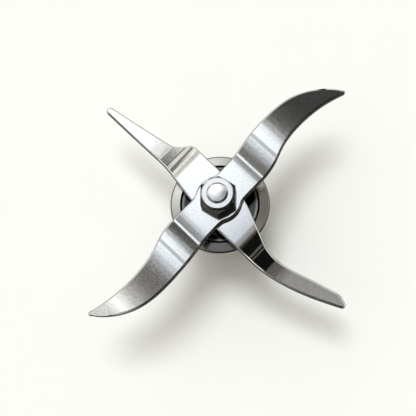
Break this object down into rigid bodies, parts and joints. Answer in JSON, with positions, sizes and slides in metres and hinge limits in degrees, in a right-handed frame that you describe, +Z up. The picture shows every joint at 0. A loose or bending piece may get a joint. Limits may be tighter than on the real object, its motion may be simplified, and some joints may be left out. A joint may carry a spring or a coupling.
{
  "type": "blender blade assembly",
  "caption": "Jug blender blade assembly: crossed bent sickle blades under a lock nut on a sealed ball-bearing shaft, in a collared housing clamped by a slotted ring nut.",
  "frame": {"origin": "on the shaft axis at the height of the housing's base rim", "axes": "+Z up along the shaft towards the lock nut, +X along the upper blade, +Y along the lower blade's straight arm"},
  "size_m": [0.1002, 0.0946, 0.0377],
  "materials": {
    "turned_steel": "matte turned stainless steel",
    "nut_steel": "machined stainless steel",
    "blade_steel": "brushed and polished stainless steel",
    "polished_steel": "polished stainless steel",
    "shaft_steel": "ground stainless steel",
    "bearing_steel": "ground bearing steel",
    "clip_steel": "pressed spring steel",
    "cage_brass": "pressed brass",
    "rubber": "black moulded rubber",
    "nylon": "natural nylon"
  },
  "bodies": {
    "housing": {"bearing_housing": "turned_steel", "flange_gasket": "rubber", "nut_washer": "clip_steel", "retaining_nut": "nut_steel", "seal_case": "clip_steel", "seal_lip": "rubber", "garter_spring": "clip_steel", "housing_circlip": "clip_steel", "outer_spacer": "clip_steel", "upper_outer_race": "bearing_steel", "upper_shield_low": "clip_steel", "upper_shield_top": "clip_steel", "lower_outer_race": "bearing_steel", "lower_shield_low": "clip_steel", "lower_shield_top": "clip_steel"},
    "rotor": {"drive_shaft": "shaft_steel", "shaft_circlip": "clip_steel", "upper_inner_race": "bearing_steel", "lower_inner_race": "bearing_steel", "inner_spacer": "clip_steel", "slinger": "polished_steel", "blade_hub": "shaft_steel", "lower_blade": "blade_steel", "upper_blade": "blade_steel", "lock_nut": "polished_steel", "nut_insert": "nylon"},
    "upper_ball_set": {"upper_balls": "bearing_steel", "upper_cage": "cage_brass"},
    "lower_ball_set": {"lower_balls": "bearing_steel", "lower_cage": "cage_brass"}
  },
  "joints": [
    {"name": "rotor_spin", "type": "hinge", "parent": "housing", "child": "rotor", "pos_m": [0, 0, 0.015], "axis": [0, 0, 1], "continuous": true},
    {"name": "upper_balls_orbit", "type": "hinge", "parent": "housing", "child": "upper_ball_set", "pos_m": [0, 0, 0.016], "axis": [0, 0, 1], "continuous": true},
    {"name": "lower_balls_orbit", "type": "hinge", "parent": "housing", "child": "lower_ball_set", "pos_m": [0, 0, 0.01], "axis": [0, 0, 1], "continuous": true}
  ],
  "couplings": [
    {"joint": "upper_balls_orbit", "follows": "rotor_spin", "ratio": 0.41667},
    {"joint": "lower_balls_orbit", "follows": "rotor_spin", "ratio": 0.41667}
  ]
}
